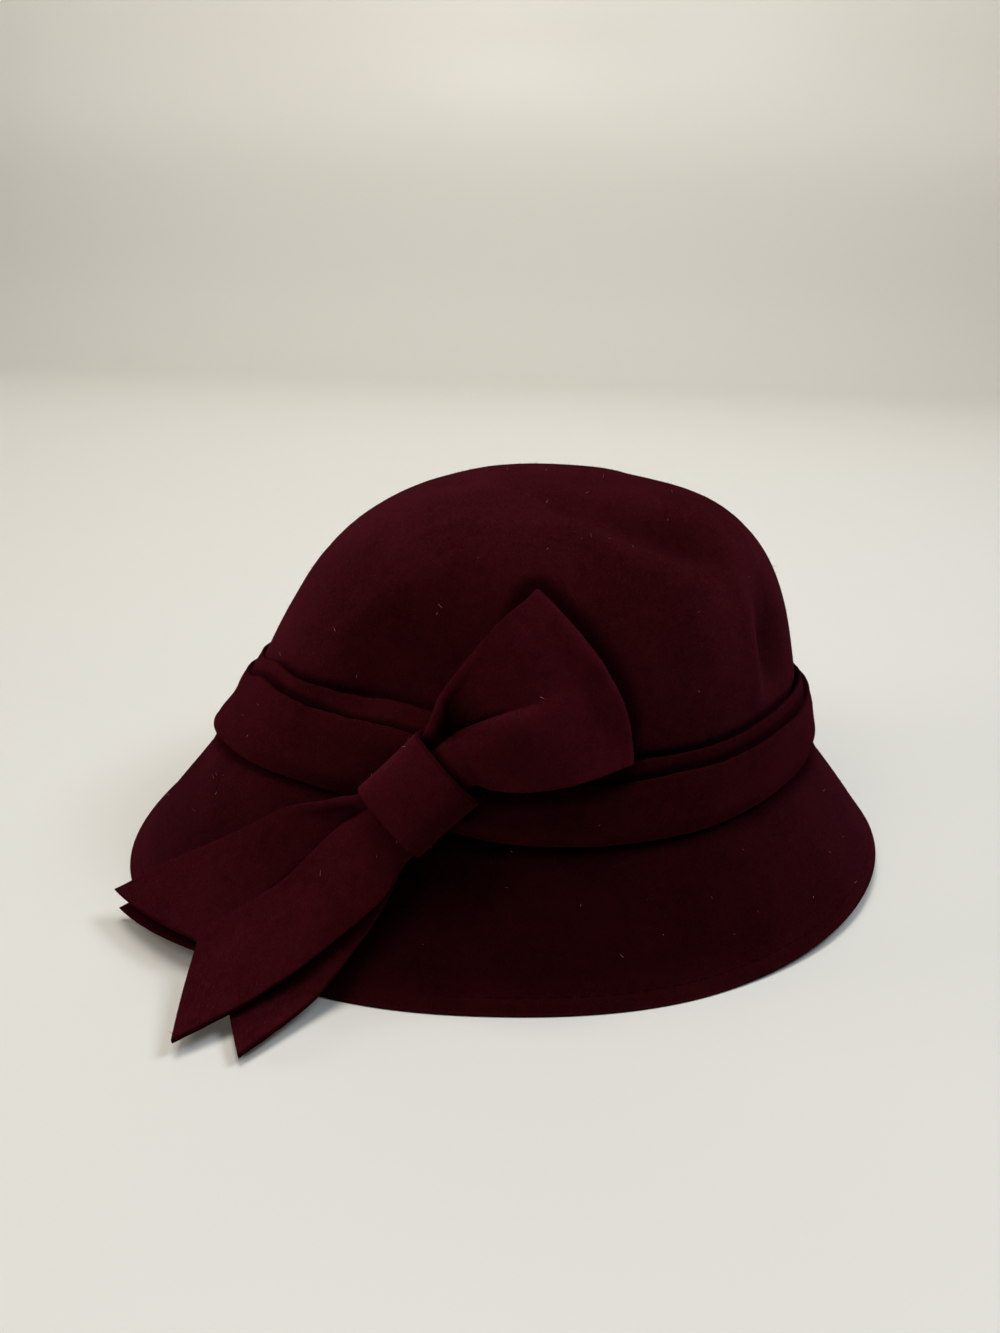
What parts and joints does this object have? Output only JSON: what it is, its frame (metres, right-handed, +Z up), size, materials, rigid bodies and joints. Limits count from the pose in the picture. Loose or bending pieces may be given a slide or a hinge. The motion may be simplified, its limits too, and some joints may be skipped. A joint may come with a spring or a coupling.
{
  "type": "cloche hat",
  "caption": "Bell-shaped felt hat with a rounded crown, a sloping brim, banded felt trim and a flat felt bow with swallow-tailed ends.",
  "frame": {"origin": "middle of the whole outline, on the surface that the brim edge rests on", "axes": "+Z up through the crown, the front of the hat faces -Y, the wearer's left side with the bow is +X"},
  "size_m": [0.258, 0.2684, 0.1269],
  "materials": {
    "body_felt": "matt wool felt with a short nap",
    "band_felt": "matt wool felt with cut edges",
    "bow_felt": "matt wool felt with cut edges"
  },
  "bodies": {
    "root": {"hat_body": "body_felt", "inner_band": "band_felt", "outer_band": "band_felt", "bow_loop": "bow_felt", "bow_knot": "bow_felt", "upper_tail": "bow_felt", "lower_tail": "bow_felt"}
  },
  "joints": []
}
